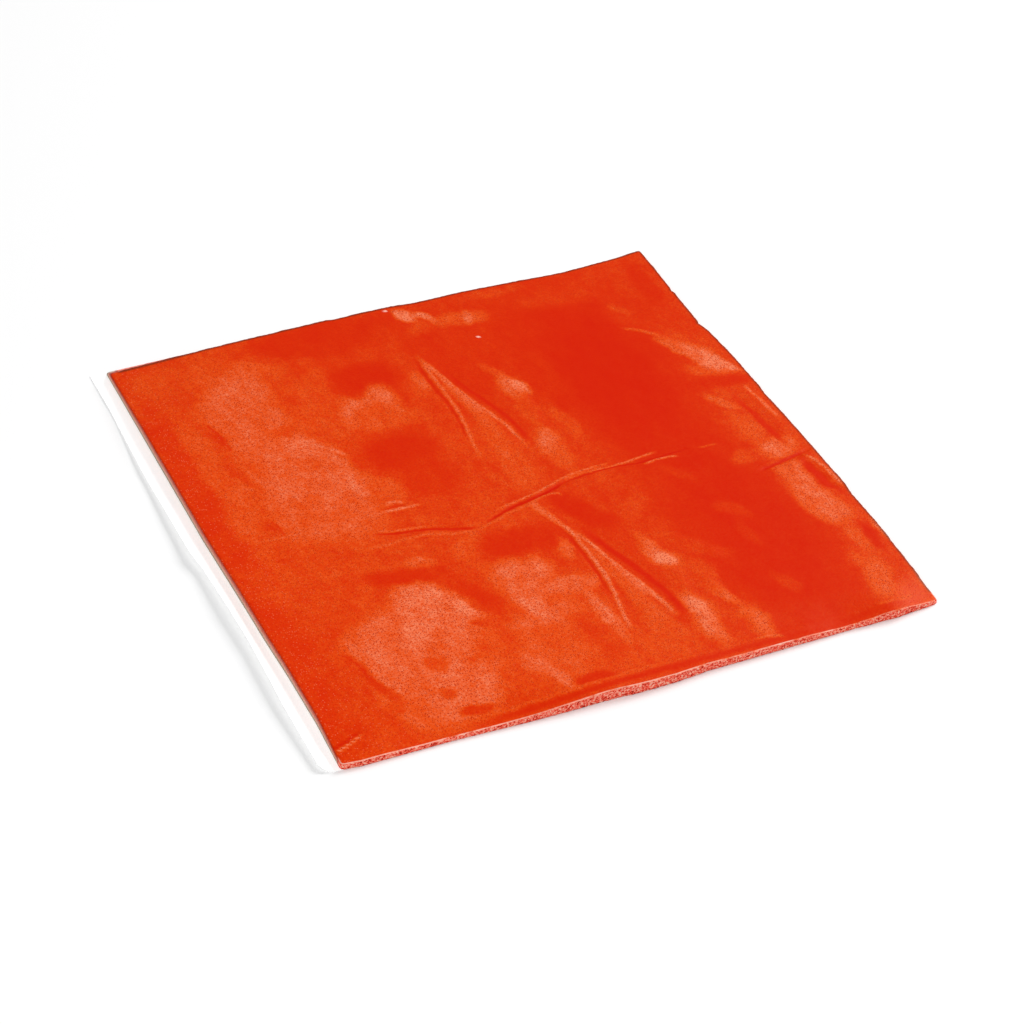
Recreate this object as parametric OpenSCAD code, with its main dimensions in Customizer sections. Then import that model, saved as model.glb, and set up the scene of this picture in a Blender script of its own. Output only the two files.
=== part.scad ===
// Square pad of mouldable clay on a white release liner.
// The liner runs past the pad along one side, and that strip is the tab for peeling the two apart.
// Frame: +Z up, X across from the tab side to the far side, Y from front to back.
// The origin is at the centre of the footprint, on the surface that the liner rests on.

/* [Clay pad] */
// Width of the pad, from the tab side to the far side (mm)
pad_w = 178; // [90:1:300]
// Depth of the pad, from front to back (mm)
pad_d = 178; // [90:1:300]
// Thickness of the pad (mm)
pad_t = 3.2; // [2:0.1:12]
// Radius of the pad's upright corners (mm)
pad_corner_r = 1.5; // [1.2:0.1:8]
// Radius of the rounded rim along the pad's top edge (mm)
pad_rim_r = 0.6; // [0.2:0.1:1]

/* [Release liner] */
// Thickness of the silicone-coated paper (mm)
liner_t = 0.18; // [0.1:0.02:0.5]
// How far the liner runs past the pad on the tab side (mm)
tab_w = 5; // [2:0.5:40]
// Radius of the tab's front corner, which is cut round (mm)
tab_front_r = 4; // [0.5:0.5:20]
// Radius of the tab's back corner, which is cut almost square (mm)
tab_back_r = 1; // [0.5:0.5:20]

/* [Quality] */
// Facets in a full circle, for previews
$fn = 64; // [16:4:128]

/* [Hidden] */

liner_w = pad_w + tab_w;        // the cut sides end flush with the pad
liner_d = pad_d;
tab_side_x = -liner_w / 2;      // outer edge of the tab
pad_tab_x = tab_side_x + tab_w; // the pad's side above the tab
front_y = -pad_d / 2;

// What is left of a square corner once a round of radius r is cut from it.
module corner_waste(r) {
    difference() {
        square(r);
        translate([r, r]) circle(r);
    }
}

// Plan of the liner: square corners on the far side, rounded ones on the tab.
module liner_plan() {
    difference() {
        square([liner_w, liner_d]);
        corner_waste(tab_front_r);
        translate([0, liner_d]) mirror([0, 1]) corner_waste(tab_back_r);
    }
}

// Upright section through the pad's border: x runs outwards, y upwards, and the outer top edge is round.
module border_section() {
    square([pad_corner_r, pad_t - pad_rim_r]);
    square([pad_corner_r - pad_rim_r, pad_t]);
    translate([pad_corner_r - pad_rim_r, pad_t - pad_rim_r]) circle(pad_rim_r);
}

// One straight stretch of the border, of the given length, running along +Y with its outside towards +X.
module border_side(length) {
    translate([0, length, 0]) rotate([90, 0, 0]) linear_extrude(length) border_section();
}

// One rounded corner of the border: a quarter turn from +X to +Y.
module border_corner() {
    rotate_extrude(angle = 90) border_section();
}

// The pad, with its lower front corner on the tab side at the origin.
module pad_block() {
    core_w = pad_w - 2 * pad_corner_r;
    core_d = pad_d - 2 * pad_corner_r;
    translate([pad_corner_r, pad_corner_r, 0]) {
        cube([core_w, core_d, pad_t]);
        translate([core_w, 0, 0]) border_side(core_d);
        translate([core_w, core_d, 0]) rotate([0, 0, 90]) border_side(core_w);
        translate([0, core_d, 0]) rotate([0, 0, 180]) border_side(core_d);
        rotate([0, 0, 270]) border_side(core_w);
        translate([core_w, core_d, 0]) border_corner();
        translate([0, core_d, 0]) rotate([0, 0, 90]) border_corner();
        rotate([0, 0, 180]) border_corner();
        translate([core_w, 0, 0]) rotate([0, 0, 270]) border_corner();
    }
}

// White silicone-coated paper that the pad is stuck to.
module release_liner() {
    color("white")
        translate([tab_side_x, front_y, 0]) linear_extrude(liner_t) liner_plan();
}

// The slab of mouldable clay, which lies on the liner.
module clay_pad() {
    color("orangered")
        translate([pad_tab_x, front_y, liner_t]) pad_block();
}

release_liner();
clay_pad();
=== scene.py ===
import math

import bpy
import numpy as np
from mathutils import Matrix, Vector


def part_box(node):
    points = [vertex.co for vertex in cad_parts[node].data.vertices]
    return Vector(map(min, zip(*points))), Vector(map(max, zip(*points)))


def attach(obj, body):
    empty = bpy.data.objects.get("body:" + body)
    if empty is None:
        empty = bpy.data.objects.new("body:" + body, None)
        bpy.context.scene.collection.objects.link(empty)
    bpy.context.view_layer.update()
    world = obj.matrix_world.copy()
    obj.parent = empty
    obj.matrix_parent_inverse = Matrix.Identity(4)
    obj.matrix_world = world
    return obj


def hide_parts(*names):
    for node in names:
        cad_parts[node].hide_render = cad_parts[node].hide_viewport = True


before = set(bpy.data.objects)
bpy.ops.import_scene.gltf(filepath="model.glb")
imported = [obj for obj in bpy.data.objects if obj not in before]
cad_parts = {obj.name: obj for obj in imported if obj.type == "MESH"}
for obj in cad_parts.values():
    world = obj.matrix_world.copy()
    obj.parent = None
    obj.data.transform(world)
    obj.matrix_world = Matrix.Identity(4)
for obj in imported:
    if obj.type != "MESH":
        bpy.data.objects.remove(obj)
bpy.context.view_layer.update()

# Square pad of mouldable clay on its white release liner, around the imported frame.
#
# A spot on the clay's top face is given in millimetres as (across, forward): across is counted from the
# pad's side above the tab towards the far side, and forward from its back towards its front.
# A heading is an angle in degrees on that map: 0 points across and 90 points forward.

MM = 0.001
PAD_LOW, PAD_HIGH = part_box("clay_pad")
LINER_LOW, LINER_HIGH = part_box("release_liner")
PAD_WIDTH = (PAD_HIGH.x - PAD_LOW.x) / MM
PAD_DEPTH = (PAD_HIGH.y - PAD_LOW.y) / MM
PAD_THICK = (PAD_HIGH.z - PAD_LOW.z) / MM
TAB_WIDTH = (PAD_LOW.x - LINER_LOW.x) / MM
LINER_THICK = (LINER_HIGH.z - LINER_LOW.z) / MM

# --- Camera and light -------------------------------------------------------------------------------

FLOOR_SIDE = 8.0
CAMERA_LENS = 103.0
CAMERA_AZIMUTH = -28.4
CAMERA_ELEVATION = 39.9
CAMERA_ROLL = 4.84
CAMERA_DISTANCE = 0.83
CAMERA_AIM = Vector((-0.0024, -0.013, PAD_HIGH.z))
# Strength of the white tent all round, and each softbox: azimuth, elevation, distance, side and power.
TENT_STRENGTH = 0.5
SOFTBOXES = {
    "key": (105, 32, 2.0, 0.9, 33.0),
    "fill": (-45, 52, 1.3, 1.0, 6.2),
}
# How bright a white surface shows on top of the pad and on its front side, where 1 is white.
LIGHT_LEVEL = 1.05
FRONT_LIGHT_LEVEL = 0.8


def direction(azimuth, elevation):
    """Unit vector from the object towards a place: azimuth 0 is in front (-Y), 90 is on the +X side."""
    turn, rise = math.radians(azimuth), math.radians(elevation)
    return Vector((math.sin(turn) * math.cos(rise), -math.cos(turn) * math.cos(rise), math.sin(rise)))


def aim(thing, place, target, roll=0.0):
    """Puts a camera or lamp at place, looking at target, rolled by roll degrees about its line of sight."""
    look = (target - place).to_track_quat("-Z", "Y").to_matrix().to_4x4()
    thing.matrix_world = Matrix.Translation(place) @ look @ Matrix.Rotation(math.radians(roll), 4, "Z")


def make_camera():
    data = bpy.data.cameras.new("camera")
    data.lens = CAMERA_LENS
    camera = bpy.data.objects.new("camera", data)
    bpy.context.scene.collection.objects.link(camera)
    place = CAMERA_AIM + CAMERA_DISTANCE * direction(CAMERA_AZIMUTH, CAMERA_ELEVATION)
    aim(camera, place, CAMERA_AIM, CAMERA_ROLL)
    bpy.context.scene.camera = camera


def make_softbox(name, azimuth, elevation, distance, side, power):
    """A square studio softbox that faces the pad."""
    data = bpy.data.lights.new(name, "AREA")
    data.shape = "SQUARE"
    data.size = side
    data.energy = power
    lamp = bpy.data.objects.new(name, data)
    bpy.context.scene.collection.objects.link(lamp)
    aim(lamp, distance * direction(azimuth, elevation), Vector((0, 0, 0)))


def make_light():
    """A bright tent all round, which the clay's gloss doesn't show, and two softboxes, which it does."""
    world = bpy.data.worlds.new("tent")
    bpy.context.scene.world = world
    world.use_nodes = True
    world.node_tree.nodes["Background"].inputs["Color"].default_value = (1, 1, 1, 1)
    world.node_tree.nodes["Background"].inputs["Strength"].default_value = TENT_STRENGTH
    world.cycles_visibility.glossy = False
    for name, placing in SOFTBOXES.items():
        make_softbox(name, *placing)
    bpy.context.scene.view_settings.view_transform = "Standard"


# --- Node trees ------------------------------------------------------------------------------------


def new_material(name):
    material = bpy.data.materials.new(name)
    material.use_nodes = True
    material.node_tree.nodes.clear()
    return material


def add(tree, kind, inputs=(), **settings):
    """Adds a shader node. inputs maps a socket's name or number to a value or to the socket that feeds it."""
    node = tree.nodes.new("ShaderNode" + kind)
    for name, value in settings.items():
        setattr(node, name, value)
    for name, value in dict(inputs).items():
        if isinstance(value, bpy.types.NodeSocket):
            tree.links.new(value, node.inputs[name])
        else:
            node.inputs[name].default_value = value
    return node


def calc(tree, operation, a, b=0.0):
    return add(tree, "Math", {0: a, 1: b}, operation=operation).outputs[0]


def remap(tree, value, from_low, from_high, to_low=0.0, to_high=1.0):
    source = {"Value": value, "From Min": from_low, "From Max": from_high}
    return add(tree, "MapRange", {**source, "To Min": to_low, "To Max": to_high}).outputs["Result"]


def spread(tree, value, low, high):
    """A noise, which mostly lies between 0.3 and 0.7, spread over low to high."""
    return remap(tree, value, 0.3, 0.7, low, high)


def mix(tree, share, a, b):
    """Colour a where share is 0 and b where it is 1."""
    node = add(tree, "Mix", data_type="RGBA", clamp_factor=True)
    for socket, value in zip((node.inputs[0], node.inputs[6], node.inputs[7]), (share, a, b)):
        if isinstance(value, bpy.types.NodeSocket):
            tree.links.new(value, socket)
        else:
            socket.default_value = value
    return node.outputs[2]


def colour_ramp(tree, value, stops):
    """Colour by value, from (position, colour) stops."""
    node = add(tree, "ValToRGB", {"Fac": value})
    elements = node.color_ramp.elements
    while len(elements) < len(stops):
        elements.new(1.0)
    for element, (position, colour) in zip(elements, stops):
        element.position = position
        element.color = colour
    return node.outputs["Color"]


def attribute(tree, name, output="Fac"):
    return add(tree, "Attribute", attribute_name=name).outputs[output]


def noise(tree, place, scale, detail=2.0, roughness=0.5):
    inputs = {"Vector": place, "Scale": scale, "Detail": detail, "Roughness": roughness}
    return add(tree, "TexNoise", inputs).outputs["Fac"]


def paint(red, green, blue, light=LIGHT_LEVEL):
    """The base colour that comes out as this display colour, 0 to 255 a channel, in light of this level."""
    def linear(channel):
        share = channel / 255
        return share / 12.92 if share <= 0.04045 else ((share + 0.055) / 1.055) ** 2.4

    return tuple(min(linear(channel) / light, 1.0) for channel in (red, green, blue)) + (1.0,)


def dots(tree, place, per_mm, core, rim, share):
    """Dots in a share of the cells that place is split into: 1 within core of a dot's middle, 0 past rim."""
    cells = add(tree, "TexVoronoi", {"Vector": place, "Scale": per_mm, "Randomness": 1.0})
    near = remap(tree, cells.outputs["Distance"], core, rim, 1.0, 0.0)
    which = add(tree, "SeparateColor", {"Color": cells.outputs["Color"]}).outputs[0]
    return calc(tree, "MULTIPLY", near, calc(tree, "LESS_THAN", which, share))


# --- Materials -------------------------------------------------------------------------------------


def clay_material():
    """Dense red-orange clay. 'haze' is the level of a cover film's dull print mixed with painted sheen and
    painted crease highlights and shade, 'cut' where the slab was cut or torn through, 'edge' how far down the
    factory edge it is, 'rim' where a dark line runs along the upper back and far sides, 'pale' where a scrap
    of paper is stuck or a highlight is painted on the front rim, and 'rest' is the resting place in
    millimetres."""
    material = new_material("clay")
    tree = material.node_tree
    place = attribute(tree, "rest", "Vector")
    haze_and_sheen = attribute(tree, "haze_and_sheen")
    cut = attribute(tree, "cut")
    edge = attribute(tree, "edge")
    grain = noise(tree, place, 1.4, 3.0, 0.7)
    fine = noise(tree, place, 3.6, 2.0, 0.6)

    mottle = calc(tree, "MULTIPLY", spread(tree, grain, 0.62, 1.38), spread(tree, fine, 0.84, 1.16))
    # Dark saturated red at low levels, the clay's own colour and painted shade in creases, up to light orange
    # at high levels, the film's dull print with painted sheen and highlights.
    face = colour_ramp(tree, calc(tree, "MULTIPLY", haze_and_sheen, mottle), [
        (0.00, paint(209, 18, 0)),
        (0.22, paint(218, 47, 0)),
        (0.45, paint(228, 75, 12)),
        (0.64, paint(231, 90, 44)),
        (0.83, paint(236, 110, 70)),
        (1.00, paint(241, 128, 90)),
    ])

    # Pits, painted darker as the shade in them, and less often raised specks, each in a cell of its own. The
    # border by the tab has more specks.
    from_tab = calc(tree, "SUBTRACT", add(tree, "SeparateXYZ", {0: place}).outputs["X"], PAD_LOW.x / MM)
    beside_tab = remap(tree, from_tab, 6, 34, 0.75, 0.0)
    elsewhere = add(tree, "VectorMath", {0: place, 1: (31, 17, 5)}).outputs[0]
    pits = dots(tree, place, per_mm=1.9, core=0.16, rim=0.42, share=0.80)
    pits = calc(tree, "MULTIPLY", pits, remap(tree, haze_and_sheen, 0.1, 0.5, 0.08, 1.0))
    speckled = calc(tree, "MAXIMUM", remap(tree, haze_and_sheen, 0.15, 0.5, 0.0, 0.6), beside_tab)
    specks = dots(tree, elsewhere, per_mm=1.7, core=0.12, rim=0.36, share=0.35)
    specks = calc(tree, "MULTIPLY", specks, speckled)
    face = mix(tree, pits, face, paint(180, 28, 2))
    face = mix(tree, specks, face, paint(245, 116, 76))

    # Torn faces are paler and granular, with bright and dark crumbs that are partly painted highlight and
    # painted shade on the grains.
    crumbs = noise(tree, place, 1.6, 3.0, 0.8)
    torn = colour_ramp(tree, crumbs, [
        (0.38, paint(140, 8, 2, FRONT_LIGHT_LEVEL)),
        (0.45, paint(224, 56, 36, FRONT_LIGHT_LEVEL)),
        (0.52, paint(244, 100, 80, FRONT_LIGHT_LEVEL)),
        (0.60, paint(255, 172, 150, FRONT_LIGHT_LEVEL)),
    ])
    factory_edge = colour_ramp(tree, calc(tree, "ADD", edge, spread(tree, grain, -0.1, 0.1)), [
        (0.10, paint(160, 40, 20)),
        (0.40, paint(206, 96, 72)),
        (0.62, paint(216, 158, 136)),
        (0.86, paint(158, 136, 112)),
    ])
    colour = mix(tree, cut, face, torn)
    colour = mix(tree, remap(tree, edge, 0.02, 0.12), colour, factory_edge)
    # A dark line along the upper back and far sides.
    colour = mix(tree, attribute(tree, "rim"), colour, paint(132, 44, 14))
    # Scraps of paper, and a painted highlight along the top of the front rim.
    colour = mix(tree, attribute(tree, "paper_and_highlight"), colour, paint(255, 200, 184))

    roughness = remap(tree, calc(tree, "MAXIMUM", haze_and_sheen, cut), 0.0, 1.0, 0.34, 0.60)
    roughness = calc(tree, "ADD", roughness, spread(tree, grain, -0.05, 0.05))

    relief = calc(tree, "SUBTRACT", calc(tree, "MULTIPLY", grain, 0.6), pits)
    relief = calc(tree, "ADD", relief, calc(tree, "MULTIPLY", specks, 0.8))
    relief = calc(tree, "ADD", relief, calc(tree, "MULTIPLY", calc(tree, "MULTIPLY", crumbs, cut), 3.0))
    bump = add(tree, "Bump", {"Height": relief, "Strength": 0.5, "Distance": 0.14 * MM})

    shader = add(tree, "BsdfPrincipled", {
        "Base Color": colour,
        "Roughness": roughness,
        "Specular IOR Level": 0.15,
        "Specular Tint": (1.0, 0.45, 0.0, 1),
        "Normal": bump.outputs["Normal"],
    })
    add(tree, "OutputMaterial", {"Surface": shader.outputs["BSDF"]})
    return material


def paper_material():
    """White silicone-coated paper: a faint fibre cloud, a satin side, and a slightly darker cut edge, painted
    shade along the sheet's thickness. It glows a little, a painted light that keeps it white where the slab
    shades it."""
    material = new_material("release_paper")
    tree = material.node_tree
    place = attribute(tree, "rest", "Vector")
    edge = attribute(tree, "cut")
    fibres = noise(tree, place, 0.9, 5.0, 0.65)
    clouds = noise(tree, place, 0.06, 3.0, 0.5)
    share = calc(tree, "ADD", spread(tree, fibres, 0.0, 0.5), spread(tree, clouds, 0.0, 0.5))
    colour = mix(tree, share, (0.93, 0.93, 0.925, 1), (0.86, 0.86, 0.85, 1))
    # The cut edge is darker: painted shade along the sheet's thickness.
    colour = mix(tree, edge, colour, (0.74, 0.73, 0.71, 1))
    bump = add(tree, "Bump", {"Height": fibres, "Strength": 0.12, "Distance": 0.05 * MM})
    shader = add(tree, "BsdfPrincipled", {
        "Base Color": colour,
        "Roughness": spread(tree, fibres, 0.38, 0.48),
        "Specular IOR Level": 0.5,
        # Painted light: a glow that keeps the paper white in the slab's shade.
        "Emission Color": (1, 1, 1, 1),
        "Emission Strength": 0.34,
        "Normal": bump.outputs["Normal"],
    })
    add(tree, "OutputMaterial", {"Surface": shader.outputs["BSDF"]})
    return material


def floor_material():
    material = new_material("floor")
    tree = material.node_tree
    shader = add(tree, "BsdfPrincipled", {"Base Color": (0.9, 0.9, 0.9, 1), "Roughness": 1.0})
    add(tree, "OutputMaterial", {"Surface": shader.outputs["BSDF"]})
    return material


# --- Fields over the clay --------------------------------------------------------------------------


def smoothstep(value, start, end):
    """0 at start and 1 at end, with a smooth turn between them. start may be the larger one."""
    share = np.clip((value - start) / (end - start), 0, 1)
    return share * share * (3 - 2 * share)


def lumps(across, forward, size, seed):
    """Smooth random relief of about -1 to 1, whose lumps are about size across."""
    random = np.random.default_rng(seed)
    heading = random.uniform(0, 2 * np.pi)
    slopes = random.uniform(0, 2 * np.pi, (64, 64))
    x = (across * np.cos(heading) + forward * np.sin(heading)) / size + random.uniform(0, 64)
    y = (forward * np.cos(heading) - across * np.sin(heading)) / size + random.uniform(0, 64)
    column, row = np.floor(x).astype(int), np.floor(y).astype(int)
    part_x, part_y = x - column, y - row

    def corner(step_x, step_y):
        slope = slopes[(row + step_y) % 64, (column + step_x) % 64]
        return (part_x - step_x) * np.cos(slope) + (part_y - step_y) * np.sin(slope)

    turn_x, turn_y = smoothstep(part_x, 0, 1), smoothstep(part_y, 0, 1)
    near = corner(0, 0) * (1 - turn_x) + corner(1, 0) * turn_x
    far = corner(0, 1) * (1 - turn_x) + corner(1, 1) * turn_x
    return 1.6 * (near * (1 - turn_y) + far * turn_y)


def rough_lumps(across, forward, size, seed, layers=3):
    """Lumps with finer, weaker lumps on them."""
    total = sum(lumps(across, forward, size / 2**n, seed + n) / 2**n for n in range(layers))
    return total / sum(1 / 2**n for n in range(layers))


def rounded(path):
    """The same path with its corners cut twice, so that it bends smoothly."""
    points = np.array(path, float)
    for _ in range(2):
        near = 0.75 * points[:-1] + 0.25 * points[1:]
        far = 0.25 * points[:-1] + 0.75 * points[1:]
        points = np.concatenate([points[:1], np.stack([near, far], 1).reshape(-1, 2), points[-1:]])
    return points


def along_path(across, forward, path):
    """Distance from each spot to a path of points, and the share of the path passed at the nearest point."""
    points = rounded(path)
    steps = np.diff(points, axis=0)
    lengths = np.hypot(steps[:, 0], steps[:, 1])
    best = np.full(across.shape, np.inf)
    share = np.zeros(across.shape)
    passed = 0.0
    for start, step, length in zip(points[:-1], steps, lengths):
        offset_x, offset_y = across - start[0], forward - start[1]
        part = np.clip((offset_x * step[0] + offset_y * step[1]) / length**2, 0, 1)
        distance = np.hypot(offset_x - part * step[0], offset_y - part * step[1])
        closer = distance < best
        best[closer] = distance[closer]
        share[closer] = ((passed + part * length) / lengths.sum())[closer]
        passed += length
    return best, share


def oval(across, forward, middle_across, middle_forward, half_length, half_width, heading=0.0, soft=0.5):
    """1 inside an oval and 0 outside it, fading over soft of its size to each side of its outline."""
    turn = math.radians(heading)
    x, y = across - middle_across, forward - middle_forward
    length = (x * math.cos(turn) + y * math.sin(turn)) / half_length
    width = (y * math.cos(turn) - x * math.sin(turn)) / half_width
    return smoothstep(np.hypot(length, width), 1 + soft, 1 - soft)


def stroke(across, forward, start_width, end_width, path, fade=0.15):
    """1 on a path and 0 beyond its half width, thinning out over the fade share at both ends."""
    distance, share = along_path(across, forward, path)
    half_width = start_width + (end_width - start_width) * share
    ends = smoothstep(np.minimum(share, 1 - share), -0.3 * fade, fade)
    return smoothstep(distance, half_width, 0.15 * half_width) * ends


# The cover film's dull print on the top face together with painted sheen, laid on in this order. Each oval is
# its level, the middle's across and forward, its half length and half width, its heading, and its softness if
# not 0.5.
HAZE_AND_SHEEN_OVALS = [
    # ground: paler towards the tab, dark over the far back part
    (0.18, 118, 30, 60, 34, 0, 0.6),
    (0.07, 140, 58, 46, 20, 90, 0.6),
    (0.09, 145, 135, 50, 22, 90, 0.6),
    (0.24, 104, 130, 50, 10, 90, 0.8),
    # border beside the tab
    (0.22, 3, 90, 110, 8, 90),
    (0.42, 13, 60, 45, 5, 90),
    (0.30, 14, 14, 14, 16, 90),
    # back left: the long light field
    (0.38, 28, 12, 22, 9, 0),
    (0.46, 41, 12, 8, 5, -30),
    (0.52, 31, 60, 42, 14, 90, 0.25),
    (0.55, 42, 80, 17, 10, 90),
    (0.64, 31, 24, 11, 6, -20),
    (0.56, 27, 42, 18, 8, 90),
    (0.36, 48, 38, 16, 5, 92, 0.7),
    (0.66, 40, 54, 8, 5, 30),
    (0.62, 46, 70, 14, 3.6, 88),
    (0.74, 48, 77, 6, 2.4, 85),
    (0.46, 54, 78, 8, 4, 60),
    (0.60, 30, 72, 14, 6, 90),
    # back middle
    (0.15, 64, 7, 25, 8, 0, 0.4),
    (0.24, 66, 20, 20, 3.6, -6),
    (0.36, 54.5, 27, 6, 5, 90),
    (0.11, 71, 30, 11, 6.5, 0),
    (0.36, 54, 46, 14, 5, 90),
    (0.66, 61, 45, 8, 4.6, 80, 0.4),
    (0.66, 70, 41, 7, 4.6, 110, 0.4),
    (0.46, 66, 48, 9, 5, 0),
    (0.40, 76, 52, 14, 3.6, 0),
    (0.13, 66, 66, 12, 8, 0),
    (0.20, 68, 80, 9, 9, 0),
    (0.28, 83, 55, 40, 5, 90),
    (0.50, 83.5, 37, 5, 2.6, 90),
    (0.36, 94, 72, 20, 4.5, 88),
    (0.46, 94, 82, 10, 3.5, 90),
    # back right
    (0.78, 93, 5.5, 3.6, 2.4, 70, 0.4),
    (0.85, 99, 10.5, 5, 1.7, 58, 0.4),
    (0.44, 108, 13, 9, 3.6, 0),
    (0.72, 110.5, 13, 3.4, 1.4, 90),
    (0.34, 94, 13, 4, 3, 0),
    (0.30, 124, 4, 12, 2.2, 0),
    (0.24, 148, 12, 20, 6, 0),
    (0.20, 160, 25, 12, 7, 90),
    (0.34, 157.5, 25, 4, 1.6, 50),
    (0.14, 171, 17, 12, 3, 90),
    (0.36, 107, 41, 5, 2, 50),
    (0.58, 109, 49, 6, 3, 75),
    (0.82, 110.6, 50, 3.4, 1.6, 80, 0.4),
    (0.34, 109, 61, 8, 2.4, 90),
    (0.48, 108.5, 79, 9, 3.8, 88),
    (0.62, 108.5, 75, 5, 2.4, 88),
    (0.34, 117, 70, 8, 2.2, 82),
    (0.16, 121, 46, 9, 4, 90),
    (0.30, 166, 45, 7, 3.4, 70),
    (0.55, 165, 50, 8, 2.4, 64),
    (0.42, 167, 62, 5, 2.6, 20),
    (0.76, 171, 57.5, 8, 3.6, 60, 0.4),
    (0.94, 173.6, 60.6, 5, 2.2, 58, 0.4),
    (0.13, 169, 69.5, 9, 2.8, 8),
    (0.40, 166, 92, 8, 4, 90),
    (0.56, 165.5, 78, 6.5, 1.9, 52),
    # band between the two halves
    (0.32, 20, 105, 20, 10, 0),
    (0.38, 26, 107, 12, 4, 10),
    (0.34, 62, 108, 22, 5, 0),
    (0.70, 50, 112.8, 4.2, 2.4, 25),
    (0.46, 66, 112, 4, 5, 40),
    (0.15, 45, 117, 13, 3, 18),
    (0.13, 81, 114, 13, 6, 0),
    (0.24, 114, 104, 7, 6, 0),
    (0.10, 103, 108, 12, 4, 60),
    (0.66, 170, 103.5, 6, 3.4, -10),
    (0.34, 160, 104, 5, 3, 0),
    # front left: the light field
    (0.34, 28, 124, 16, 5, 0),
    (0.62, 38, 150, 24, 19, 90, 0.2),
    (0.66, 30, 140, 13, 8, 0, 0.3),
    (0.74, 46, 131, 12, 8, 50, 0.3),
    (0.20, 57, 124, 14, 3.2, 55),
    (0.18, 62, 134, 7, 2.6, 80),
    (0.82, 50.5, 130, 11, 2.4, 50, 0.4),
    (0.44, 54, 152, 10, 4, 90),
    (0.70, 42, 163, 9, 5, 30),
    (0.52, 27, 165, 9, 5, 80),
    # front middle
    (0.44, 76, 156, 17, 16, 0),
    (0.70, 73, 129, 9, 5, 80),
    (0.64, 80, 127, 5, 5, 0),
    (0.74, 73, 139, 8, 4, 85),
    (0.58, 84, 136, 12, 3.4, 0),
    (0.60, 76, 145, 10, 4, 0),
    (0.27, 84, 157, 12, 4.4, 90),
    (0.68, 89.6, 151, 11, 2.2, 84),
    (0.46, 103, 160, 11, 3.6, 85),
    (0.52, 92, 121.5, 5, 2, 85, 0.4),
    (0.72, 67.5, 168, 7, 2, 75),
    (0.60, 62, 161, 5, 2, 40),
    (0.32, 56, 164, 4.6, 3.4, 60, 0.4),
    (0.36, 97, 168, 12, 5, 0),
    (0.14, 76, 172, 7, 2, 0),
    # front right
    (0.46, 114, 126, 5, 1.5, 55),
    (0.58, 116, 134, 6.5, 3.6, 65),
    (0.86, 116.4, 135, 4, 2.2, 65, 0.4),
    (0.28, 116, 146, 7, 2.6, 90),
    (0.60, 114.5, 161, 10, 3.6, 86),
    (0.74, 114.5, 157, 6, 2.2, 86),
    (0.28, 126, 133, 10, 2.6, 45),
    (0.60, 123.6, 153.5, 5.5, 2, 82),
    (0.32, 123, 146, 8, 3.4, 90),
    (0.50, 127, 168, 8, 3.2, 72),
    (0.20, 144, 123, 5, 3, 40),
    (0.16, 143, 134, 6, 2, 80),
    (0.22, 143, 156, 5, 2, 80),
    (0.20, 136, 103, 7, 2.4, 50),
    (0.56, 168, 120, 14, 4.6, 88),
    (0.64, 170.5, 122, 9, 2.6, 88),
    (0.62, 170, 133, 7, 4.6, 60),
    (0.44, 172, 147, 6, 2.4, 80),
    (0.48, 168, 164, 11, 4.6, 90),
    (0.80, 179, 146, 5, 1.0, 88, 0.4),
    (0.08, 176, 119, 9, 1.5, 82),
    (0.10, 175.8, 148, 7, 1.4, 88),
    (0.10, 171.8, 90, 13, 1.2, 84),
    # dark scallops beside the light fields, painted shadows with a crisp edge towards the light field
    (0.27, 17, 41, 7, 2.2, 78, 0.4),
    (0.29, 18, 58, 9, 2.2, 80),
    (0.32, 18, 85, 5, 1.8, 75),
    (0.28, 18, 147, 8, 2.2, 75, 0.4),
    (0.26, 22, 157, 6, 2, 62, 0.4),
    # prints of fingertips and small dull spots in the light fields
    (0.38, 38, 45, 3.4, 3, 0, 0.3),
    (0.44, 38, 62, 4, 3, 0, 0.3),
    (0.50, 38, 86, 3.2, 2.6, 0, 0.3),
    (0.36, 39, 151.5, 3.6, 3, 0, 0.3),
    (0.34, 49.5, 153.5, 1.6, 1.3, 0, 0.3),
    (0.34, 36, 163, 2.2, 1.7, 40, 0.3),
    (0.30, 22.5, 163, 2.6, 1.6, 60, 0.3),
    (0.20, 41.5, 171, 4.4, 2, 10, 0.3),
    (0.32, 56, 141.5, 3, 1.2, 40, 0.3),
]
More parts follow.
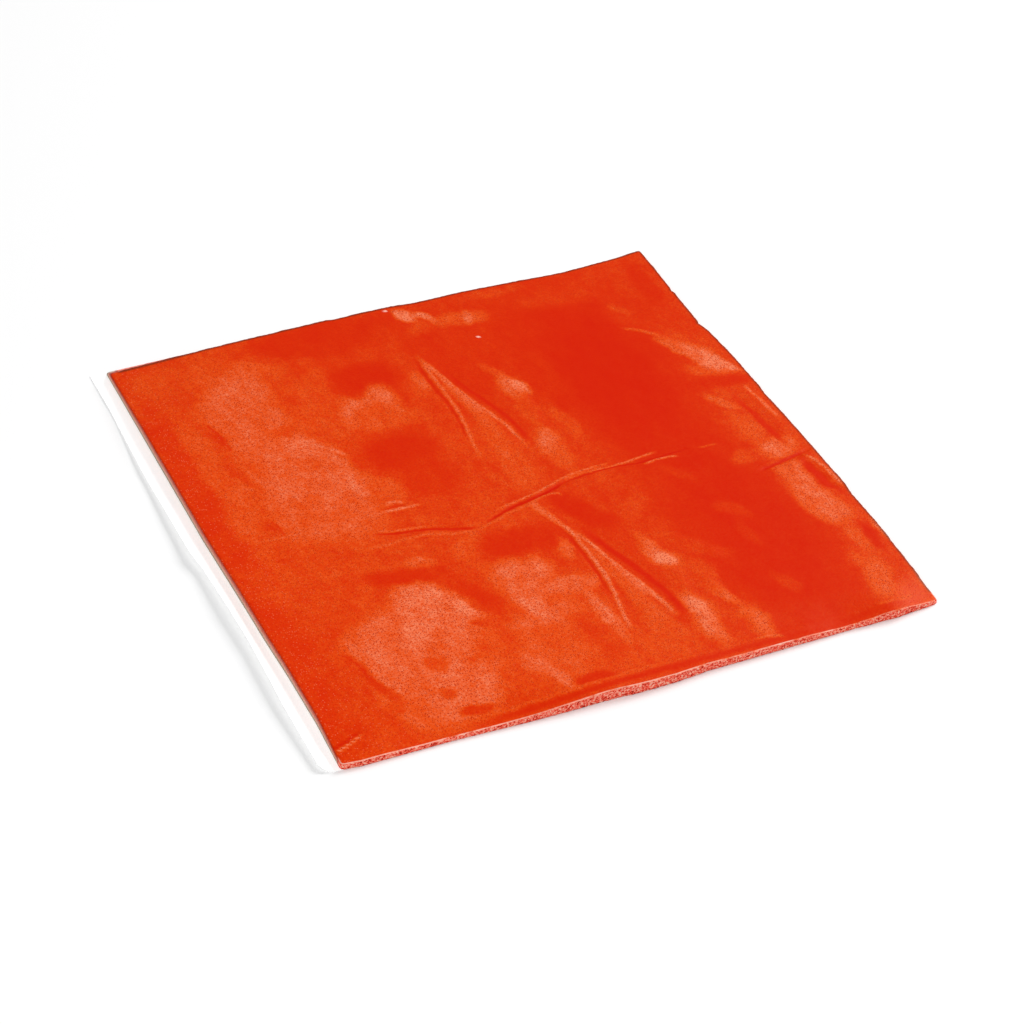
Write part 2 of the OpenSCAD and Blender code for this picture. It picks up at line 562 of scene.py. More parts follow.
# Thin marks, mostly painted highlights and painted shade along creases: level, half width where the path
# starts and where it ends, path.
HAZE_AND_SHADING_STROKES = [
    # upper pair of wrinkles, with painted highlights on their lit sides and painted shade beside them
    (0.10, 1.0, 0.7, [(87.4, 27), (86.6, 35), (87, 44), (87.8, 52), (87.3, 60), (86, 68)]),
    (0.62, 1.3, 0.9, [(88.4, 26), (88.6, 35), (89, 45), (89, 55), (88, 63), (86.6, 70), (86, 77)]),
    (0.46, 1.4, 3.4, [(90, 40), (92.6, 52), (94.6, 62), (96, 74)]),
    (0.74, 1.2, 0.9, [(88.6, 27), (90.8, 36), (92.8, 44), (95, 52), (98, 60), (99.8, 67), (101, 77)]),
    (0.62, 1.0, 2.0, [(90, 33), (91.6, 42), (93.6, 51), (96.8, 60)]),
    (0.08, 1.0, 1.4, [(93.4, 36), (96, 46), (99.4, 55), (102, 64), (103, 76)]),
    # lower pair of wrinkles, with painted highlights on their lit sides and painted shade beside them
    (0.60, 2.2, 1.8, [(90.6, 99.6), (92.2, 104), (93.8, 109)]),
    (0.70, 1.7, 1.1, [(93.2, 107), (95, 112), (97.4, 120)]),
    (0.46, 1.0, 3.6, [(98, 122), (99, 132), (100, 142), (101, 152)]),
    (0.78, 1.1, 1.0, [(96, 116), (96.8, 126), (97, 135), (96, 143), (94.4, 150), (93.6, 159)]),
    (0.80, 0.9, 1.3, [(97.5, 116), (99.5, 125), (101.4, 132), (103.6, 139), (105.8, 147), (108, 158)]),
    (0.66, 1.0, 2.6, [(100.6, 131), (102.4, 139), (104.4, 148)]),
    (0.10, 1.0, 0.8, [(94.4, 115), (95, 124), (95.3, 133), (94.4, 142)]),
    (0.06, 1.6, 1.8, [(100, 116), (103, 127), (106.6, 137), (109.6, 148), (110.6, 160)]),
    # main crease across the middle, with painted highlights on its lit lips and painted shade in its groove
    (0.50, 0.9, 1.1, [(37, 102), (45, 102.6), (52, 102), (58, 102.2), (64, 104.6), (69, 105.4), (73, 105.3)]),
    (0.52, 1.2, 0.9, [(72, 105.4), (78, 103.6), (84, 101.8), (90.7, 100.4)]),
    (0.55, 0.7, 0.8, [(44, 95.4), (48, 97.6), (54, 98.4), (59, 98.8)]),
    (0.46, 1.0, 0.8, [(104, 93.9), (110, 93.4), (119, 93.1)]),
    (0.74, 0.5, 0.5, [(80, 99.8), (86, 98.4), (92, 97.2), (99, 95.3), (106, 92.7), (114, 92), (120, 92)]),
    (0.70, 0.5, 0.7, [(112, 94), (121, 93.5), (128.3, 93), (135.4, 92.2)]),
    (0.80, 0.6, 0.6, [(129.3, 95.9), (135.7, 95.3), (140.5, 96.2)]),
    (0.40, 0.5, 0.5, [(148, 95), (154, 95.2)]),
    (0.60, 0.8, 0.6, [(90.7, 100.4), (96.4, 98.4), (100.1, 98.7), (100.5, 100.4)]),
    (0.05, 0.7, 0.9, [(44, 97.4), (50, 98.8), (57, 99.8), (62, 101.2), (68, 103.8), (73, 104.6)]),
    (0.00, 0.7, 1.0, [(75, 103.8), (81, 101.2), (86, 99.7), (92, 98.8), (98, 97.2), (105, 94.8)]),
    (0.00, 0.5, 0.4, [(104, 95), (109, 94.5), (116, 94), (121, 94), (128.5, 95), (134.5, 94.6), (146, 94)]),
    # crease on the far side, with painted highlights on its ridges and painted shade in its groove
    (0.02, 0.9, 1.0, [(160, 110.8), (168, 109.4), (176, 107.6)]),
    (0.85, 0.8, 0.9, [(175.5, 108.6), (177.5, 112), (178.8, 118), (179.4, 126)]),
    (0.44, 0.9, 1.2, [(153.5, 34.6), (158, 37.4), (163, 42.4)]),
    (0.74, 0.8, 1.0, [(175.2, 73), (176, 80), (177.4, 91)]),
    # faint straight crease with a lens-shaped fold beside it, with painted highlights and a little painted
    # shade
    (0.60, 0.6, 0.7, [(12, 89), (30, 89.2), (50, 89.2), (64, 89.8)]),
    (0.30, 0.6, 0.6, [(66, 89.4), (76.8, 88.6)]),
    (0.78, 0.9, 0.8, [(50, 89.2), (56, 89.4), (60, 89.8)]),
    (0.14, 0.5, 0.5, [(50.5, 88.2), (57, 88.4)]),
    (0.75, 1.1, 1.1, [(51.5, 87.2), (54, 85.8), (57, 87.2)]),
    (0.75, 0.7, 1.2, [(43, 54), (47, 57.4), (50.4, 62)]),
    # ridge along the front with painted highlights on it, and the smooth band beyond it
    (0.12, 1.7, 1.7, [(36, 175.4), (60, 175.6), (90, 175.6), (120, 175.6), (150, 175.4), (176, 175.4)]),
    (0.44, 0.7, 0.7, [(22, 173.8), (32, 172.6), (42, 173.4), (52, 173.6), (80, 173.6), (106, 173.4)]),
    (0.60, 0.6, 0.6, [(124, 173.6), (129, 174), (132, 175.4)]),
    (0.50, 0.6, 0.6, [(162, 174), (174, 173.8)]),
    # thin dark outlines on the tab's side of the scallops
    (0.12, 0.5, 0.5, [(17, 34), (18.6, 38), (19.4, 43), (20, 49)]),
    (0.22, 0.5, 0.5, [(18.6, 80), (20, 84), (20.4, 89)]),
    (0.14, 0.5, 0.5, [(17, 140), (18.6, 144), (19.6, 150), (21.6, 155)]),
    # nick near the front corner, with a painted highlight on its lip and painted shade in its groove
    (0.95, 0.6, 0.5, [(1.0, 172), (5.5, 170.4), (9.8, 168.6)]),
    (0.02, 0.6, 0.6, [(0.6, 170.8), (5, 169.2), (9, 167.6)]),
]

# Flecks of the liner's paper stuck to the top face: middle across and forward, and half size.
FLECKS = [(109.8, 23.4, 0.55), (88.4, 1.2, 0.6)]

# Relief of the top face in millimetres: height of a ridge or, below 0, of a groove, then as the thin marks
# above.
RELIEF_STROKES = [
    # main crease: a sharp groove with a low lip on both sides
    (0.09, 0.9, 0.9, [(78, 99.6), (86, 97.8), (92, 97.2), (99, 95.2), (106, 92.6), (114, 92), (120, 92.2)]),
    (-0.20, 0.8, 1.0, [(74, 103.8), (81, 101.2), (86, 99.6), (92, 98.8), (98, 97.2), (105, 95), (109, 94)]),
    (-0.12, 0.6, 0.5, [(106, 94.8), (116, 94), (121, 93.9), (128.4, 95), (134.6, 94.6), (146, 94)]),
    (0.07, 1.2, 1.2, [(72, 106), (79, 104.4), (86, 102.6), (91, 100.8), (96.4, 98.8), (100, 98.9)]),
    (0.05, 1.6, 1.6, [(36, 102.8), (48, 103), (57, 103), (65, 105.6), (73, 106)]),
    (-0.10, 0.8, 0.9, [(44, 97.4), (50, 98.8), (57, 99.8), (62, 101.2), (68, 103.8), (73, 104.6)]),
    (0.05, 1.2, 1.2, [(43, 94.6), (49, 96.8), (59, 97.8)]),
    (0.10, 0.8, 0.8, [(120, 93.7), (128, 93.2), (135.4, 92.3)]),
    (0.10, 0.8, 0.8, [(129.3, 95.9), (135.7, 95.3), (140.5, 96.2)]),
    # upper pair of wrinkles
    (0.03, 1.6, 1.4, [(88.6, 24), (89, 36), (89.4, 47), (89, 57), (87.2, 68), (86.2, 78)]),
    (-0.05, 1.0, 0.9, [(87, 27), (86.4, 37), (87, 46), (87.4, 56), (85.8, 68)]),
    (0.06, 3.0, 5.0, [(89.4, 27), (90.8, 38), (92, 48), (94, 57), (96, 66), (97, 79)]),
    (-0.04, 1.6, 2.8, [(93.8, 36), (97.2, 46), (101, 55), (103.6, 64), (105, 78)]),
    # lower pair of wrinkles
    (0.05, 2.4, 1.8, [(90.6, 99.8), (92.4, 105), (94.4, 111), (97, 118)]),
    (0.04, 1.4, 1.3, [(96.4, 116), (97.4, 127), (97.4, 136), (96, 144), (94.4, 152), (94, 161)]),
    (-0.05, 1.0, 0.9, [(94.4, 114), (95, 124), (95.2, 134), (94, 144)]),
    (0.06, 3.0, 5.0, [(97.4, 116), (98.4, 126), (99.6, 136), (101.6, 146), (103, 160)]),
    (-0.05, 1.6, 2.8, [(101, 115), (104.6, 127), (108.4, 138), (111.4, 149), (112.6, 162)]),
    # swells that the light blobs lie on
    (0.09, 2.4, 3.4, [(105, 37), (109, 47), (110, 58), (109, 72), (109, 88)]),
    (0.09, 2.4, 3.4, [(112, 122), (116, 133), (116, 146), (115, 158), (114, 172)]),
    (0.07, 2.0, 2.4, [(120, 126), (127, 133), (132, 141)]),
    (0.08, 2.2, 2.8, [(122, 144), (124, 154), (127, 166), (127, 175)]),
    (0.08, 3.0, 3.0, [(58, 42), (64, 45), (74, 39)]),
    (0.08, 3.0, 3.0, [(68, 126), (74, 126), (82, 122)]),
    (0.09, 2.4, 2.6, [(42, 120), (49, 128), (54, 134), (58, 144)]),
    (0.08, 2.0, 2.2, [(42, 52), (47, 58), (50, 65), (55, 77)]),
    # far side
    (0.10, 1.6, 2.0, [(154, 34), (160, 38), (164, 46), (167, 56)]),
    (-0.24, 1.1, 1.1, [(159, 111.2), (168, 109.8), (175, 108), (180, 106.8)]),
    (0.12, 1.5, 1.5, [(163, 113.2), (169, 112), (175, 110.2)]),
    (0.14, 1.4, 1.5, [(175.2, 107.6), (177.8, 112), (179.2, 119), (179.6, 128)]),
    (-0.10, 1.3, 1.4, [(173.4, 110), (175.6, 116), (176.8, 126)]),
    (0.09, 1.6, 1.6, [(173.6, 72), (175.6, 82), (177, 92)]),
    (-0.09, 1.3, 1.5, [(170.6, 76), (172.2, 88), (173.6, 100)]),
    # straight crease, ridge along the front, nick near the front corner
    (0.04, 0.8, 0.8, [(10, 89), (34, 89.2), (52, 89.2), (66, 89.8)]),
    (0.07, 1.6, 1.6, [(50, 88), (54.5, 86), (59, 88.4)]),
    (0.08, 1.2, 1.2, [(20, 174), (32, 172.8), (60, 173.6), (90, 173.8), (120, 173.6), (176, 174)]),
    (-0.16, 1.3, 1.2, [(0.2, 170.8), (5, 169), (9.6, 167.4)]),
    (0.10, 1.3, 1.2, [(0.2, 172.4), (5, 170.8), (10, 169)]),
    # fingertips
    (-0.06, 3.6, 3.6, [(38, 43), (38, 47)]),
    (-0.06, 3.6, 3.6, [(38, 60), (38, 64)]),
    (-0.06, 3.8, 3.8, [(39, 149), (39, 154)]),
    (-0.08, 1.8, 1.8, [(49.5, 153), (49.5, 154)]),
]
# Where the slab is thinner or thicker than its even thickness: change in millimetres, then as the ovals
# above.
# The corners and most of the front are thinner.
THICKNESS_OVALS = [
    (-0.75, 6, 184, 44, 17, 0, 0.7),
    (-0.75, -5, 184, 13, 13, 0, 0.7),
    (-0.75, -4, -4, 24, 20, 0, 0.8),
    (-1.20, 38, 182, 28, 12, 0, 0.6),
    (0.15, 78, 182, 18, 12, 0, 0.6),
    (-0.30, 104, 182, 18, 12, 0, 0.6),
    (0.25, -2, 90, 48, 10, 90, 0.7),
    (-1.90, 182, 181, 11, 10, 0, 0.7),
    (-1.00, 138, 182, 26, 12, 0, 0.6),
    (-0.70, 152, 181, 9, 9, 0, 0.8),
]

# Level of print and painted sheen before anything is painted.
HAZE_AND_SHEEN_BASE = 0.30


def wander(across, forward):
    """The same spots, nudged about, so that what is drawn with plain ovals gets natural outlines."""
    side = 1.6 * lumps(across, forward, 11, 11) + 1.1 * rough_lumps(across, forward, 4, 12)
    ahead = 1.6 * lumps(across, forward, 11, 15) + 1.1 * rough_lumps(across, forward, 4, 16)
    return across + side, forward + ahead


def haze_and_sheen_at(across, forward):
    """How much dull print the cover film left at each spot, with painted sheen and crease highlights and
    shade, 0 to 1.
    """
    level = np.full(across.shape, HAZE_AND_SHEEN_BASE)
    near_across, near_forward = wander(across, forward)
    for target, *shape in HAZE_AND_SHEEN_OVALS:
        level += (target - level) * oval(near_across, near_forward, *shape)
    streaks = rough_lumps(across + 0.12 * forward, forward * 0.4, 5, 21)
    streaks += 0.8 * rough_lumps(across - 0.3 * forward, forward * 0.25, 2.4, 25)
    level *= 1 + 0.26 * streaks + 0.25 * rough_lumps(across, forward, 7, 31)
    near_across = across + 0.4 * rough_lumps(across, forward, 3, 51)
    near_forward = forward + 0.4 * rough_lumps(across, forward, 3, 55)
    for target, *shape in HAZE_AND_SHADING_STROKES:
        level += (target - level) * stroke(near_across, near_forward, *shape)
    level *= 1 + 0.25 * rough_lumps(across, forward, 2.2, 35)
    return np.clip(level, 0, 1)


def relief_at(across, forward, haze_and_sheen):
    """Height of the top face above the slab's even thickness, in millimetres."""
    height = 0.14 * lumps(across, forward, 38, 41) + 0.06 * rough_lumps(across, forward, 14, 61)
    height += 0.035 * rough_lumps(across + 0.12 * forward, forward * 0.4, 5, 71)
    height += 0.05 * haze_and_sheen
    for change, *shape in THICKNESS_OVALS:
        height += change * oval(across, forward, *shape)
    near_across = across + 0.35 * lumps(across, forward, 4, 81)
    near_forward = forward + 0.35 * lumps(across, forward, 4, 82)
    for crest, *shape in RELIEF_STROKES:
        height += crest * stroke(near_across, near_forward, *shape)
    return height


def flecks_at(across, forward):
    """1 on a fleck of paper, 0 elsewhere."""
    covers = [oval(across, forward, *middle, size, 0.7 * size, 30, 0.3) for *middle, size in FLECKS]
    return np.max(covers, 0)


# --- Outline ---------------------------------------------------------------------------------------

# How far each side of the slab stands out from the straight line, in millimetres, at the places where it
# turns. It runs straight between them.
BACK_SIDE = [(0, -0.9), (35, 0), (70, 0.9), (72, 0.5), (90, 0.6), (100, -0.2), (115, 0), (150, -1.4),
             (170, -0.2), (178, 0.9)]
FAR_SIDE = [(0, -0.1), (42, -0.5), (46, 0.4), (60, 1.3), (75, 1.7), (80, 1.4), (95, 2.0), (125, 2.5),
            (130, 2.1), (145, 2.3), (170, 1.5), (178, 2.3)]
FRONT_SIDE = [(0, -1.9), (5, -1.3), (30, -1.1), (55, 0), (75, 0.1), (85, 0.6), (95, 0.6), (105, -0.2),
              (150, -0.4), (165, -0.1), (178, -1.0)]
TAB_SIDE = [(0, 0.2), (80, 0.4), (105, -0.2), (125, -0.5), (140, -1.0), (160, -1.2), (178, -0.6)]
# Two nicks in the far side: their places along it, half width and depth.
FAR_NICKS = (22.5, 41)
NICK_HALF_WIDTH = 1.2
NICK_DEPTH = 0.5
# How much further back the slanting cut along the back reaches at its foot.
BACK_SLANT = [(0, 3.9), (60, 3.0), (178, 2.0)]
# How strong the painted highlight along the top of the front rim is, 0 to 1.
FRONT_RIM_HIGHLIGHT = [(0, 0.8), (45, 0.8), (58, 0.4), (72, 0.7), (100, 0.8), (116, 0.3), (124, 0.6), (128, 1),
             (134, 1), (137, 0.4), (142, 0.5), (145, 0.9), (149, 0.8), (152, 0.2), (178, 0.3)]
# How ragged the cut is along the front, 0 to 1.
FRONT_RAGGED = [(0, 0.35), (48, 0.4), (56, 1), (126, 1), (132, 0.5), (148, 0.5), (154, 1), (178, 1)]


def bulge(table, position):
    """A side's table read at positions along it."""
    places, values = zip(*table)
    return np.interp(position, places, values)


def far_bulge(forward):
    """How far the far side stands out, with its nicks."""
    nicks = sum(np.clip(1 - np.abs(forward - place) / NICK_HALF_WIDTH, 0, 1) for place in FAR_NICKS)
    return bulge(FAR_SIDE, forward) - NICK_DEPTH * nicks


# --- Meshes ----------------------------------------------------------------------------------------

# Cells along each side of the top grid, and how many of them go to one cell of the underside.
CELLS = 280
COARSE = 5
# Rings of points down the rounded rim and down the wall.
RIM_STEPS = 3
WALL_STEPS = 7
RIM_RADIUS = 0.5
CORNER_RADIUS = 0.4
# Middle and reach of the wrinkles, where the grid is finer, across and forward.
FINE_ACROSS = (98, 14)
FINE_FORWARD = (99, 12)
# The underside's mean level of haze, which starts this far in from the foot of the wall.
UNDER_HAZE = 0.36
FOOT_INSET = 0.5


def spacing(length, middle, width):
    """CELLS + 1 places from 0 to length, closer together round the middle."""
    even = np.linspace(0, length, 20 * CELLS + 1)
    density = 1 + 0.8 * np.exp(-(((even - middle) / width) ** 2))
    passed = np.concatenate([[0], np.cumsum((density[1:] + density[:-1]) / 2)])
    return np.interp(np.linspace(0, passed[-1], CELLS + 1), passed, even)


def slab_spots(inset):
    """The (across, forward) spots of the top grid, inset from the slab's outline."""
    across_line = spacing(PAD_WIDTH, *FINE_ACROSS)
    forward_line = spacing(PAD_DEPTH, *FINE_FORWARD)
    across, forward = np.meshgrid(across_line, forward_line)
    left = -bulge(TAB_SIDE, forward) + inset
    right = PAD_WIDTH + far_bulge(forward) - inset
    back = -bulge(BACK_SIDE, across) + inset
    front = PAD_DEPTH + bulge(FRONT_SIDE, across) - inset
    moved_across = left + (right - left) * across / PAD_WIDTH
    moved_forward = back + (front - back) * forward / PAD_DEPTH
    return round_corners(moved_across, moved_forward)


def round_corners(across, forward):
    """Pulls the grid in at its four corners, so that its outline turns them on an arc."""
    for row in (0, -1):
        for column in (0, -1):
            corner_across, corner_forward = across[row, column], forward[row, column]
            away_across = np.abs(across - corner_across)
            away_forward = np.abs(forward - corner_forward)
            inside = (away_across < CORNER_RADIUS) & (away_forward < CORNER_RADIUS)
            x = CORNER_RADIUS - away_across[inside]
            y = CORNER_RADIUS - away_forward[inside]
            shrink = np.maximum(x, y) / np.maximum(np.hypot(x, y), 1e-9)
            sign_across = 1 if column == 0 else -1
            sign_forward = 1 if row == 0 else -1
            across[inside] = corner_across + sign_across * (CORNER_RADIUS - x * shrink)
            forward[inside] = corner_forward + sign_forward * (CORNER_RADIUS - y * shrink)
    return across, forward


def numbered(rows, columns, first=0):
    """A grid of point numbers, row by row from first."""
    return np.arange(rows * columns).reshape(rows, columns) + first


def border(grid):
    """Point numbers of a grid's border, once round: back, far side, front, tab side."""
    return np.concatenate([grid[0, :-1], grid[:-1, -1], grid[-1, :0:-1], grid[:0:-1, 0]])


def grid_faces(grid, flip=False):
    """Quads of a grid of point numbers, seen from above, or from below if flipped."""
    quads = np.stack([grid[:-1, :-1], grid[1:, :-1], grid[1:, 1:], grid[:-1, 1:]], -1).reshape(-1, 4)
    return (quads[:, ::-1] if flip else quads).tolist()


def outward(across, forward):
    """Unit normals of a closed outline that is given in order, pointing out of it."""
    step_x = np.roll(across, -1) - np.roll(across, 1)
    step_y = np.roll(forward, -1) - np.roll(forward, 1)
    length = np.hypot(step_x, step_y)
    return step_y / length, -step_x / length


def to_frame(across, forward, height):
    """Places in the frame, in metres, of spots on the map at a height in millimetres above the liner."""
    x = PAD_LOW.x + across * MM
    y = PAD_HIGH.y - forward * MM
    z = PAD_LOW.z + np.zeros_like(x) + height * MM
    return np.stack([x, y, z], -1)


def set_attribute(mesh, name, values, kind="FLOAT"):
    made = mesh.attributes.new(name, kind, "POINT")
    field = "vector" if kind == "FLOAT_VECTOR" else "value"
    made.data.foreach_set(field, np.ascontiguousarray(values, np.float32).ravel())


def make_piece(name, points, faces, material, **fields):
    """A smooth-shaded mesh object with its resting place, in millimetres, and other fields as attributes."""
    mesh = bpy.data.meshes.new(name)
    mesh.from_pydata(points.tolist(), [], faces)
    mesh.polygons.foreach_set("use_smooth", [True] * len(mesh.polygons))
    set_attribute(mesh, "rest", points / MM, "FLOAT_VECTOR")
    for field, values in fields.items():
        set_attribute(mesh, field, values)
    mesh.materials.append(material)
    mesh.validate()
    piece = bpy.data.objects.new(name, mesh)
    bpy.context.scene.collection.objects.link(piece)
    return piece


def band_faces(upper, lower):
    """Quads between two closed rings with the same number of points, seen from outside."""
    after_upper, after_lower = np.roll(upper, -1), np.roll(lower, -1)
    return np.stack([upper, after_upper, after_lower, lower], -1).tolist()


def side_fields(ring_across, ring_forward):
    """Along the outline: how ragged the cut is, how much it is the tab side, and how much the front."""
    tab = smoothstep(ring_across, 3.2, 1.6)
    front = smoothstep(ring_forward, PAD_DEPTH - 5, PAD_DEPTH - 3.4)
    ragged = 0.8 + (bulge(FRONT_RAGGED, ring_across) - 0.8) * front
    return ragged * (1 - 0.85 * tab), tab * (1 - front), front


def rim_and_wall(ring_top):
    """Down the side, ring by ring: how far out and how high it stands, its share of the full tear, and
    whether it is on the rim."""
    for step in range(1, RIM_STEPS + 1):
        turn = math.radians(90 * step / RIM_STEPS)
        tall = ring_top - RIM_RADIUS * (1 - math.cos(turn))
        yield RIM_RADIUS * math.sin(turn), tall, step / RIM_STEPS, True
    for step in range(1, WALL_STEPS + 1):
        share = step / WALL_STEPS
        yield RIM_RADIUS, (ring_top - RIM_RADIUS) * (1 - share), 1 - 0.6 * share**4, False


def tear(length, out, tall, torn, on_rim):
    """A ring's distance out and height, roughened where the side is torn."""
    crumbs = 0.55 * lumps(length, tall * 1.2, 1.3, 51) + 0.45 * lumps(length, tall * 1.2, 0.7, 52)
    out = out + torn * (0.30 * crumbs + 0.22 * lumps(length, tall * 0.2, 4.5, 53))
    if on_rim:
        tall = tall + 0.16 * torn * lumps(length, out, 0.9, 54)
    return out, tall


def make_clay():
    """The slab as one closed mesh: a fine top grid, a rounded rim, granular sides and a coarse underside."""
    across_grid, forward_grid = slab_spots(RIM_RADIUS)
    across, forward = across_grid.ravel(), forward_grid.ravel()
    haze_and_sheen = haze_and_sheen_at(across, forward)
    height = PAD_THICK + relief_at(across, forward, haze_and_sheen)
    top = numbered(CELLS + 1, CELLS + 1)
    edge = border(top)
    ring_across, ring_forward, ring_top = across[edge], forward[edge], height[edge]
    normal_across, normal_forward = outward(ring_across, ring_forward)
    steps = [np.diff(ring, prepend=ring[-1]) for ring in (ring_across, ring_forward)]
    length = np.cumsum(np.hypot(*steps))
    ragged, tab, front = side_fields(ring_across, ring_forward)
    back_and_far_sides = (1 - tab) * (1 - front)
    # A painted highlight along the top of the front rim, broken up along its length.
    rim_highlight = front * bulge(FRONT_RIM_HIGHLIGHT, ring_across) * smoothstep(lumps(length, 0 * length, 3, 57), -0.7, 0.1)
    slant = bulge(BACK_SLANT, ring_across) * smoothstep(ring_forward, 7, 1.5)

    plain = np.zeros(top.size)
    rim = plain.copy()
    rim[edge] = 0.8 * back_and_far_sides
    points = [to_frame(across, forward, height)]
    flecks = flecks_at(across, forward)
    fields = {"haze_and_sheen": [haze_and_sheen], "cut": [plain], "edge": [plain], "rim": [rim], "paper_and_highlight": [flecks]}
    faces = grid_faces(top)
    upper = edge
    count = top.size

    def add_ring(out, tall):
        """Adds a ring round the slab and joins it to the one above it."""
        nonlocal upper, count
        back = slant * np.clip(1 - tall / ring_top, 0, 1)
        out_across = ring_across + out * normal_across
        out_forward = ring_forward + out * normal_forward - back
        points.append(to_frame(out_across, out_forward, tall))
        lower = np.arange(count, count + len(edge))
        faces.extend(band_faces(upper, lower))
        upper = lower
        count += len(edge)

    for number, (out, tall, tear_share, on_rim) in enumerate(rim_and_wall(ring_top)):
        out, tall = tear(length, out, tall, ragged * tear_share, on_rim)
        add_ring(out, tall)
        depth = np.clip((ring_top - tall) / ring_top, 0, 1)
        # The front's rings are set high, so that the top of the front rim shows a painted highlight.
        fields["haze_and_sheen"].append(np.maximum(haze_and_sheen[edge], 0.9 * front))
        fields["cut"].append((1 - tab) * smoothstep(depth, 0.0, 0.12))
        fields["edge"].append(tab * depth)
        fields["rim"].append(back_and_far_sides * smoothstep(depth, 0.35, 0.15))
        fields["paper_and_highlight"].append(rim_highlight * (number == 0))

    # Underside: a last ring just inside the foot, then its points go in fives to a coarser grid.
    add_ring(RIM_RADIUS - FOOT_INSET, 0.0)
    places = np.linspace(0, CELLS, CELLS // COARSE + 1).astype(int)[1:-1]
    inner = np.ix_(places, places)
    points.append(to_frame(across_grid[inner].ravel(), forward_grid[inner].ravel(), 0.0))
    under = numbered(len(places), len(places), count)
    faces += grid_faces(under, flip=True)
    faces += underside_border(upper, border(under), len(places))
    under_across, under_forward = np.concatenate(points[-2:])[:, :2].T / MM
    under_haze = UNDER_HAZE * (1 + 0.5 * rough_lumps(under_across, under_forward, 16, 101))
    for name, field in fields.items():
        field.append(under_haze if name == "haze_and_sheen" else 0 * under_haze)
    joined = {name: np.concatenate(field) for name, field in fields.items()}
    return make_piece("clay_slab", np.concatenate(points), faces, clay_material(), **joined)


def underside_border(outer, inner, side):
    """Faces between the outline's lowest ring and the underside's inner ring, corner by corner."""
    faces = []
    per_outer, per_inner = CELLS, side - 1
    for edge_number in range(4):
        outer_side = [outer[(edge_number * per_outer + n) % len(outer)] for n in range(per_outer + 1)]
        inner_side = [inner[(edge_number * per_inner + n) % len(inner)] for n in range(per_inner + 1)]
        for step in range(per_inner):
            first = (step + 1) * COARSE
            for n in range(first, first + COARSE):
                near = inner_side[step] if n < first + COARSE // 2 else inner_side[step + 1]
                faces.append([outer_side[n], outer_side[n + 1], near])
            middle = outer_side[first + COARSE // 2]
            faces.append([inner_side[step], middle, inner_side[step + 1]])
        for n in range(COARSE):
            faces.append([outer_side[n], outer_side[n + 1], inner_side[0]])
            far = per_outer - COARSE + n
            faces.append([outer_side[far], outer_side[far + 1], inner_side[-1]])
    return faces


# How far the tab reaches past the slab's straight side, and how high its outer edge stands off the table,
# at the places where they turn. How high is a guess from the shadow beside it.
TAB_EDGE = [(-4, 5.0), (15, 4.9), (45, 6.0), (85, 6.2), (92, 5.2), (125, 4.3), (150, 4.9), (178, 4.4)]
TAB_LIFT = [(-4, 0.1), (20, 0.2), (70, 1.1), (90, 1.7), (110, 2.6), (122, 2.8), (136, 2.5), (178, 1.3)]
# Where the tab starts and ends from back to front, and the radii of its corners.
TAB_BACK = -3.3
TAB_FRONT = 175.9
BACK_TAB_RADIUS = 0.8
FRONT_TAB_RADIUS = 3.6
# How far the liner stays in from the slab's other sides, and how far under the clay the fine cells reach.
LINER_INSET = 0.35
FINE_REACH = 1.5
# Cells across the tab and under the clay, and from back to front in the back corner, the front and between.
TAB_CELLS = 12
UNDER_CELLS = 26
BACK_CORNER_POINTS = 6
FRONT_CORNER_POINTS = 14
ROW_POINTS = 150


def liner_rows():
    """Places from back to front of the tab's rows of points, close together where its corners turn."""
    start = TAB_BACK + BACK_TAB_RADIUS * (1 - np.cos(np.linspace(0, np.pi / 2, BACK_CORNER_POINTS)))
    end = TAB_FRONT - FRONT_TAB_RADIUS * (1 - np.cos(np.linspace(np.pi / 2, 0, FRONT_CORNER_POINTS)))
    return np.concatenate([start, np.linspace(start[-1], end[0], ROW_POINTS)[1:-1], end])


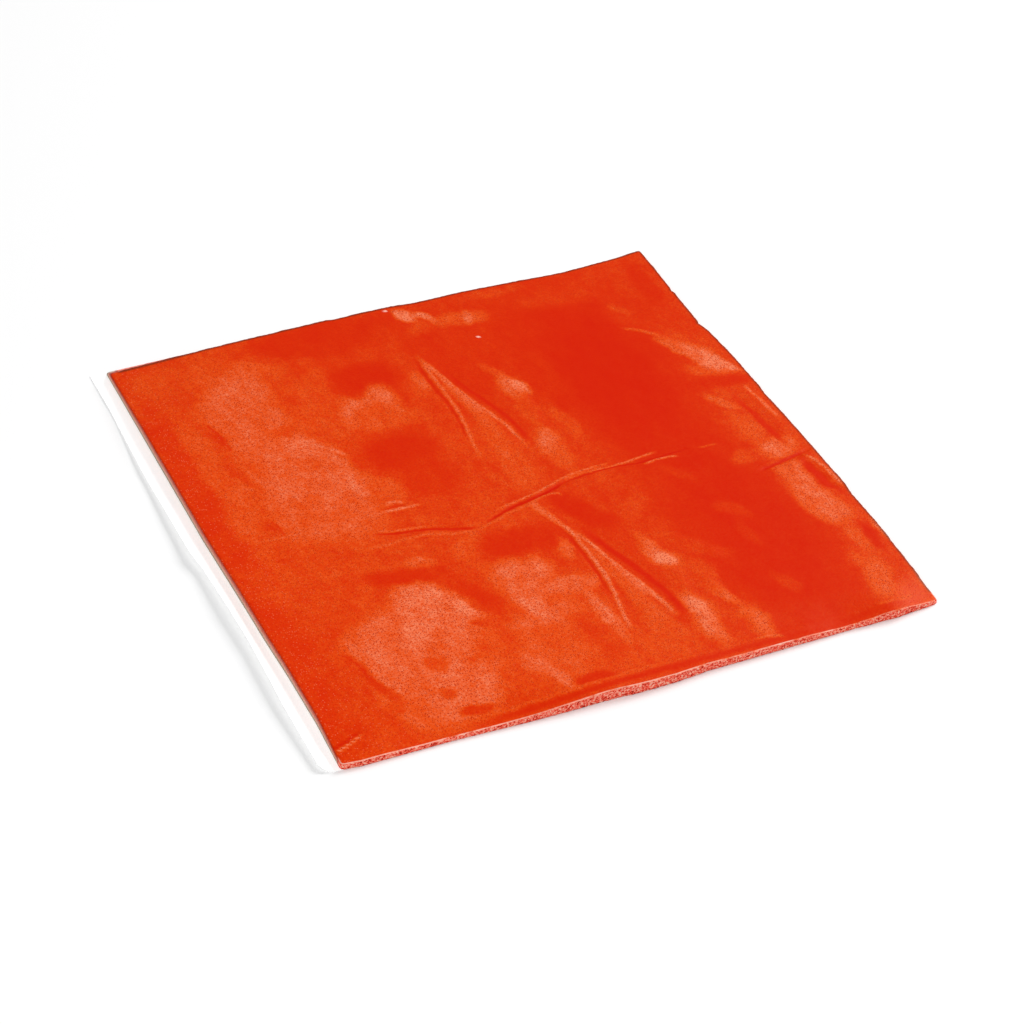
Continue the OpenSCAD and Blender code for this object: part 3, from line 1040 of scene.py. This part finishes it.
def liner_grid():
    """The (across, forward) spots of the liner: fine over the tab, coarse under the clay."""
    rows = liner_rows()
    outer = bulge(TAB_EDGE, rows)
    for end, inward, radius in ((TAB_BACK, 1, BACK_TAB_RADIUS), (TAB_FRONT, -1, FRONT_TAB_RADIUS)):
        into = np.clip(1 - inward * (rows - end) / radius, 0, 1)
        outer = outer - radius * (1 - np.sqrt(1 - into**2))
    edge = -outer[:, None]
    far = (PAD_WIDTH + far_bulge(rows) - LINER_INSET)[:, None]
    tab = edge + (FINE_REACH - edge) * np.linspace(0, 1, TAB_CELLS + 1)
    under = FINE_REACH + (far - FINE_REACH) * np.linspace(0, 1, UNDER_CELLS + 1)[1:]
    across = np.concatenate([tab, under], 1)
    covered = smoothstep(across, -0.5, FINE_REACH)
    slab_back = LINER_INSET - bulge(BACK_SIDE, across) - bulge(BACK_SLANT, across)
    slab_front = PAD_DEPTH + bulge(FRONT_SIDE, across) - LINER_INSET
    back = TAB_BACK + (slab_back - TAB_BACK) * covered
    front = TAB_FRONT + (slab_front - TAB_FRONT) * covered
    share = ((rows - TAB_BACK) / (TAB_FRONT - TAB_BACK))[:, None]
    return across, back + (front - back) * share


def make_liner():
    """The paper: a closed sheet, flat under the clay, whose tab curls up off the table."""
    across, forward = liner_grid()
    past = np.clip(-across / TAB_WIDTH, 0, 1.3)
    lift = bulge(TAB_LIFT, forward) * past**1.5 + 0.12 * past * lumps(across * 0.3, forward, 14, 91)
    lift = np.maximum(lift, 0)
    top = to_frame(across, forward, lift).reshape(-1, 3)
    under = top - [0, 0, LINER_THICK * MM]
    grid = numbered(*across.shape)
    edge = border(grid)
    # The cut edge has points of its own, so that its corners stay sharp.
    cut_edge = np.arange(len(edge)) + 2 * grid.size
    faces = grid_faces(grid) + grid_faces(grid + grid.size, flip=True)
    faces += band_faces(cut_edge, cut_edge + len(edge))
    points = np.concatenate([top, under, top[edge], under[edge]])
    cut = np.zeros(len(points))
    cut[cut_edge[0]:] = 1
    return make_piece("release_paper", points, faces, paper_material(), cut=cut)


def place_clay(clay):
    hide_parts("clay_pad")
    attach(clay, "pad")


def place_liner(liner):
    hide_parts("release_liner")
    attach(liner, "liner")


def make_floor():
    half = FLOOR_SIDE / 2
    points = np.array([(-half, -half, 0), (half, -half, 0), (half, half, 0), (-half, half, 0)])
    floor = make_piece("floor", points, [[0, 1, 2, 3]], floor_material())


make_camera()
make_light()
make_floor()
place_clay(make_clay())
place_liner(make_liner())
